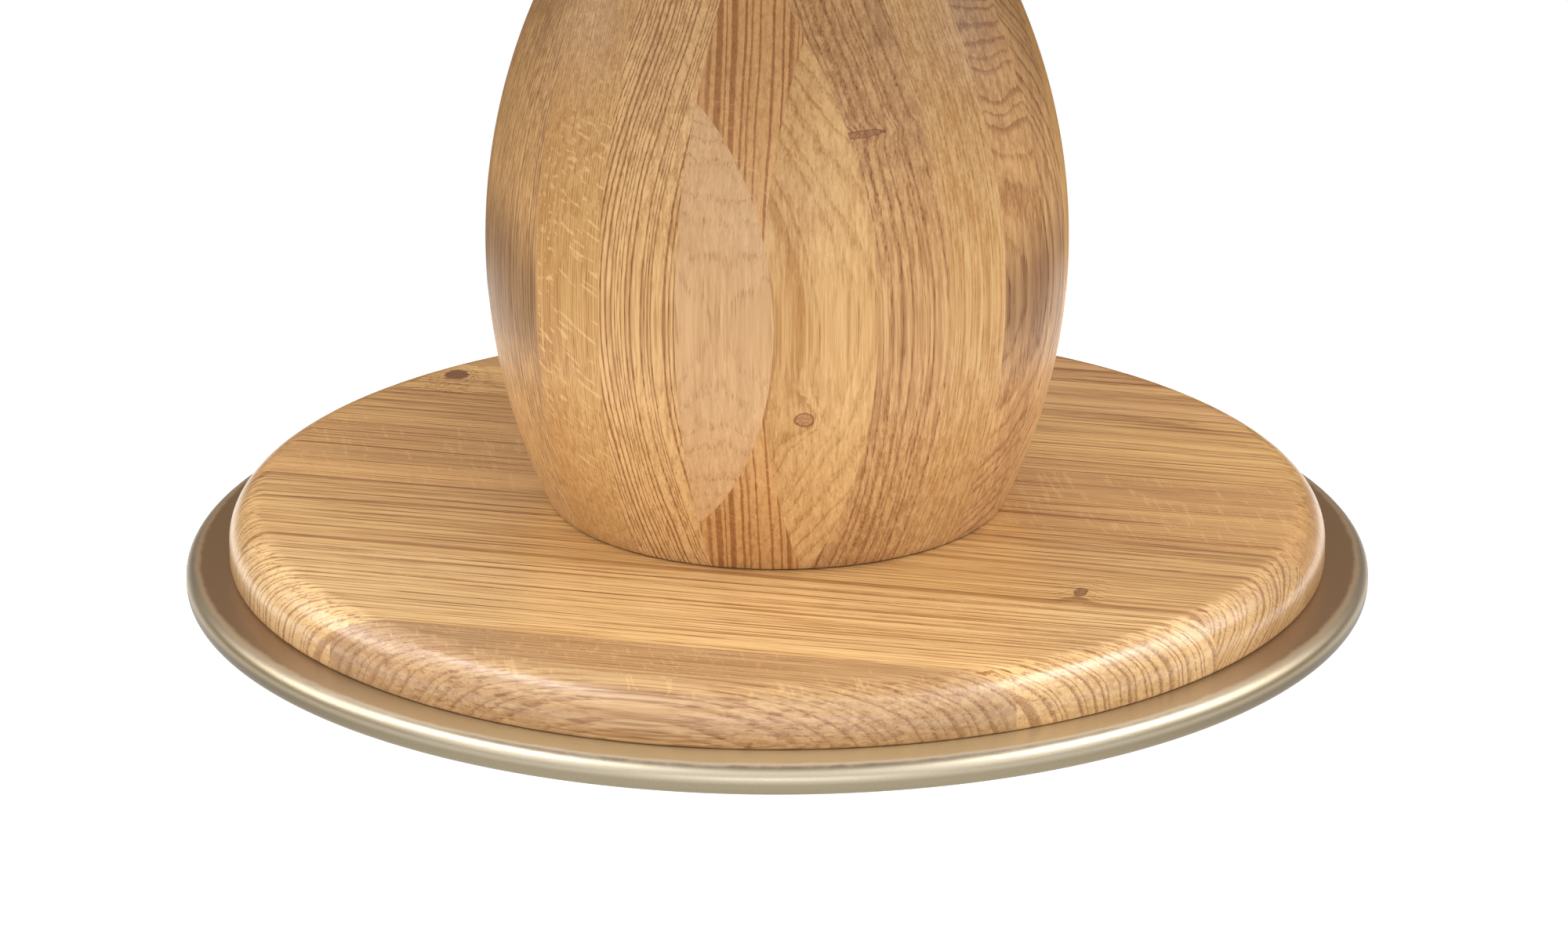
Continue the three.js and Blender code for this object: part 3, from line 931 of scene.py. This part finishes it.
PALE_KNOTTED = GOLDEN._replace(
    light=(0.80, 0.535, 0.25), ring=0.0050, rings=0.2, streaks=0.5, pores=0.4, stain=0.1,
    knot=(0.0153, -0.1652, 0.154), knot_size=0.0054
)
SPIKED = DUN._replace(
    light=(0.72, 0.455, 0.21), dark=(0.42, 0.22, 0.09), ring=0.0045, wander=0.022, rings=0.38, pores=0.8,
    knot=(0.0455, -0.1475, 0.315), knot_size=0.0075, knot_flat=3.6, knot_dark=0.4, lean=0.03
)
TAWNY = DUN._replace(light=(0.74, 0.46, 0.21), smudge=0.8, ring=0.0035, rings=0.4)

# Each layer's boards from the front: where they meet, along the layer, and each one's wood and pith.
COLUMN_BOARDS = [
    ([-0.057, -0.007, 0.042], [
        (EDGE, (0.03, -0.28)),
        (FLECKED, (0.150, -0.20)),
        (COARSE, (0.109, -0.087)),
        (SMOOTH, (0.054, 0.024)),
    ]),
    ([-0.057, -0.007, 0.042, 0.087], [
        (EDGE, (0.03, -0.28)),
        (FLECKED, (0.150, -0.20)),
        (COARSE, (0.109, -0.087)),
        (ORANGE, (0.18, -0.03)),
        (PALE_KNOTTED, (-0.012, 0.055)),
    ]),
    ([0.0], [
        (DUN, (0.0, -0.1)),
        (SPIKED, (-0.05, 0.13)),
    ]),
    ([0.02], [
        (PLAIN, (0.1, -0.1)),
        (GOLDEN._replace(light=(0.70, 0.475, 0.23), ring=0.0030, rings=0.25, stain=0.15), (-0.12, 0.14)),
    ]),
    ([-0.03], [
        (PLAIN, (0.1, -0.1)),
        (TAWNY._replace(dark=(0.42, 0.22, 0.09), ring=0.0032, rings=0.3, smudge=0.9), (-0.01, 0.05)),
    ]),
    ([0.04], [
        (GOLDEN, (0.0, -0.1)),
        (TAWNY, (-0.06, 0.06)),
    ]),
    ([0.0], [
        (PLAIN, (0.0, -0.1)),
        (GOLDEN, (-0.1, 0.12)),
    ]),
    ([-0.03], [
        (COARSE, (-0.1, -0.1)),
        (PLAIN, (-0.2, 0.12)),
    ]),
    ([0.02], [
        (SMOOTH, (-0.2, -0.1)),
        (GOLDEN, (-0.1, 0.12)),
    ]),
]


def board_seed(toward, beside):
    """A seed that comes from the pith, so that a board which spans two layers keeps one figure."""
    return 40 + round(300 * toward - 700 * beside)


def make_column():
    along, back = directions(COLUMN_YAW)
    front = -back
    body = cut_by(turned(column_profile(), COLUMN_SIDES), column_bores())
    for i, (low, high) in enumerate(between(LAYER_SEAMS)):
        layer = slab(body, back, low, high)
        joints, boards = COLUMN_BOARDS[i]
        for j, (left, right) in enumerate(between(joints)):
            name = f"column_stave_{i + 1}_{j + 1}"
            oak, (toward, beside) = boards[j]
            pith = front * toward + along * beside
            wood = oak_material(name, oak, UP, front, pith, board_seed(toward, beside), COLUMN_COAT)
            piece = finished(name, slab(layer, along, left, right), wood)
            stand_for(piece, "column_oak", f"column_layer_{i + 1}")
        layer.free()
    body.free()


# ---------------------------------------------------------------- metal and plastic


def plain_material(name, colour, metallic, roughness, grain=1500, bump=0.0):
    """A finish with fine variation in its colour, its roughness and, if bump is given, its surface."""
    material, t, shader = new_material(name)
    speck = t.noise(t.scaled(t.add("TexCoord").outputs["Object"], grain), 2.0)
    darker = tuple(c * 0.6 for c in colour)
    t.set(shader["Base Color"], t.mix(t.times(speck, 0.3), colour, darker))
    t.set(shader["Roughness"], t.times_add(speck, 0.2, roughness - 0.1))
    if bump:
        t.set(shader["Normal"], t.bump(speck, bump, 0.0003))
    t.set(shader["Metallic"], metallic)
    return material


ZINC = plain_material("zinc", (0.60, 0.61, 0.62), 1.0, 0.38, 900)
NYLON = plain_material("nylon", (0.02, 0.02, 0.02), 0.0, 0.55, 1500, 0.2)

# The champagne lacquer's colours as (towards the front, the rest of the way round). They paint light into the
# lacquer: paler at the front, painted shade at the bead's foot, a painted highlight on its crest, a painted
# sheen on the shoulder and a brown painted reflection of the wood on the ledge.
BEAD_FOOT = (0.28, 0.24, 0.16), (0.15, 0.12, 0.08)
BEAD_SIDE = (0.48, 0.43, 0.33), (0.36, 0.29, 0.18)
BEAD_CREST = (0.48, 0.43, 0.33), (0.46, 0.38, 0.27)
SHOULDER_SHEEN = (0.70, 0.63, 0.49), (0.50, 0.36, 0.22)
LEDGE_REFLECTION = (0.62, 0.49, 0.285), (0.30, 0.18, 0.092)


def ring_lacquer():
    """Champagne lacquer on steel, with light painted into its colour: painted shade at the foot of the bead,
    a pale painted sheen where it rounds over to the ledge, and a brown painted reflection of the wood on the
    ledge, with ragged edges between. All of it is paler at the front, which is painted light too. The
    shoulder's band is also smoother and less metallic."""
    material, t, shader = new_material("champagne_lacquer")
    place = t.add("TexCoord").outputs["Object"]
    _, y, z = t.split(place)
    # Painted light: the colours grow paler towards the front.
    to_back = t.range(y, -0.34, -0.16)
    radius = t.vector("LENGTH", t.vector("MULTIPLY", place, (1, 1, 0)))
    flake = t.noise(t.scaled(place, 1400), 2.0)
    ragged = t.times_add(t.noise(t.scaled(place, 90), 5.0, 0.7), 0.005, radius)
    # The shoulder where the bead rounds over: a painted sheen, on lacquer that is smoother and less metallic
    # there.
    sheen_band = t.range(ragged, RING_RADIUS - 0.0042, RING_RADIUS - 0.0008, 1.0, 0.0)
    # The ledge: a brown painted reflection of the wood.
    reflection_band = t.range(ragged, RING_RADIUS - 0.0075, RING_RADIUS - 0.0045, 1.0, 0.0)
    # The bead: painted shade at its foot and a painted highlight on its crest.
    colour = t.mix(t.range(z, 0.0095, 0.0135), t.mix(to_back, *BEAD_FOOT), t.mix(to_back, *BEAD_SIDE))
    colour = t.mix(t.range(z, 0.0150, 0.0175), colour, t.mix(to_back, *BEAD_CREST))
    colour = t.mix(sheen_band, colour, t.mix(to_back, *SHOULDER_SHEEN))
    colour = t.mix(reflection_band, colour, t.mix(to_back, *LEDGE_REFLECTION))
    t.set(shader["Base Color"], t.shade(t.times(flake, 0.4), colour, (0.55, 0.55, 0.55)))
    t.set(shader["Roughness"], t.times_add(flake, 0.16, t.times_add(sheen_band, -0.10, 0.33)))
    t.set(shader["Normal"], t.bump(flake, 0.25, 0.0002))
    t.set(shader["Metallic"], t.times_add(sheen_band, -0.4, 1.0))
    return material


RING_SIDES = 360
RING_FOOT_STEPS = 8
RING_TOP_STEPS = 12


def make_ring():
    foot, shoulder = RING_FOOT_ROUND, RING_TOP_ROUND
    low, high = RING_LOW.z, RING_HIGH.z
    body = turned([
        (RING_BORE, low),
        *arc(RING_RADIUS - foot, low + foot, foot, -QUARTER, 0, RING_FOOT_STEPS),
        *arc(RING_RADIUS - shoulder, high - shoulder, shoulder, 0, QUARTER, RING_TOP_STEPS),
        (RING_BORE, high),
    ], RING_SIDES)
    body = cut_by(cut_by(body, ring_bores()), stud_threads())
    stand_for(finished("metal_ring", body, ring_lacquer()), "champagne_metal", "base_ring")


PAD_SIDES = 72
PAD_SOLE_STEPS = 8
PAD_TOP_STEPS = 10
STUD_SIDES = 60
KEY_SIDES = 6


def foot_pad(reach, top, head, head_low):
    """A pad with a pocket that holds the stud's head."""
    edge, pocket = PAD_EDGE, head + PLAY
    pocket_low = head_low - PLAY
    pocket_high = head_low + STUD_HEAD_HEIGHT + PLAY
    return turned([
        (STUD_RADIUS, 0),
        *arc(reach - edge, edge, edge, -QUARTER, 0, PAD_SOLE_STEPS),
        *arc(reach - 2 * edge, top - 2 * edge, 2 * edge, 0, QUARTER, PAD_TOP_STEPS),
        (STUD_RADIUS + PLAY, top),
        (STUD_RADIUS + PLAY, pocket_high),
        (pocket, pocket_high),
        (pocket, pocket_low),
        (STUD_RADIUS, pocket_low),
    ], PAD_SIDES)


def thread(low, high):
    """The grooves of a stud's thread as profile points, one groove a pitch."""
    points = []
    for turn in range(int((high - low - THREAD_STOP) / THREAD_PITCH)):
        z = low + THREAD_START + turn * THREAD_PITCH
        points += [
            (STUD_RADIUS, z),
            (STUD_RADIUS, z + THREAD_FLAT),
            (STUD_RADIUS - THREAD_DEPTH, z + THREAD_SLOPE),
        ]
    return points


def foot_stud(head, low, high):
    """A threaded stud with a flat head and a hexagon socket."""
    head_high = low + STUD_HEAD_HEIGHT
    stud = turned([
        (0, low),
        (head - PLAY, low),
        (head, low + PLAY),
        (head, head_high - PLAY),
        (head - PLAY, head_high),
        (STUD_RADIUS, head_high),
        *thread(head_high, high),
        (STUD_RADIUS, high - STUD_TIP),
        (STUD_RADIUS - STUD_TIP, high),
        (0, high),
    ], STUD_SIDES)
    return cut_by(stud, [cylinder(KEY_RADIUS, 0, 0, 0, head_high - KEY_FLOOR, KEY_SIDES)])


def make_feet():
    """Levelling feet: a nylon pad, and a threaded stud whose head it holds."""
    for i in FEET:
        pad_node, stud_node = f"foot_pad_{i}", f"foot_stud_{i}"
        place, reach, head = middle_of(pad_node), radius_of(pad_node), radius_of(stud_node)
        stud_low, stud_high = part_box(stud_node)
        pad = foot_pad(reach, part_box(pad_node)[1].z, head, stud_low.z)
        stud = foot_stud(head, stud_low.z, stud_high.z)
        for body, name, node, slot, finish in (
            (pad, f"pad_{i}", pad_node, "pad_plastic", NYLON),
            (stud, f"stud_{i}", stud_node, "zinc_steel", ZINC),
        ):
            bmesh.ops.translate(body, verts=body.verts, vec=(place.x, place.y, 0))
            stand_for(finished(f"smooth_{name}", body, finish), slot, node, body=name)


EASED_WIDTH = 0.0003
EASED_STEPS = 2
EASED_ANGLE = math.radians(40)


def dress_hardware():
    """Finishes and eased edges for the CAD nodes that stay as they are."""
    black = plain_material("black_coat", (0.03, 0.03, 0.032), 0.0, 0.6, 1200, 0.3)
    beech = plain_material("beech", (0.62, 0.42, 0.24), 0.0, 0.6, 800)
    by_slot = {"zinc_steel": ZINC, "black_steel": black, "beech": beech, "pad_plastic": NYLON}
    slots = {entry["node"]: entry["material_slot"] for entry in frame["record"]["subparts"]}
    for name, node in frame["nodes"].items():
        if slots[name] in by_slot:
            node.data.materials.clear()
            node.data.materials.append(by_slot[slots[name]])
            edges = node.modifiers.new("edges", "BEVEL")
            edges.width = EASED_WIDTH
            edges.segments = EASED_STEPS
            edges.angle_limit = EASED_ANGLE


# ---------------------------------------------------------------- the whole scene

add_camera()
add_studio()
add_floor()
make_round(BASE_DISC, base_bores())
make_column()
make_round(TABLETOP, top_bores(), batten_screw_bores())
make_ring()
make_feet()
dress_hardware()
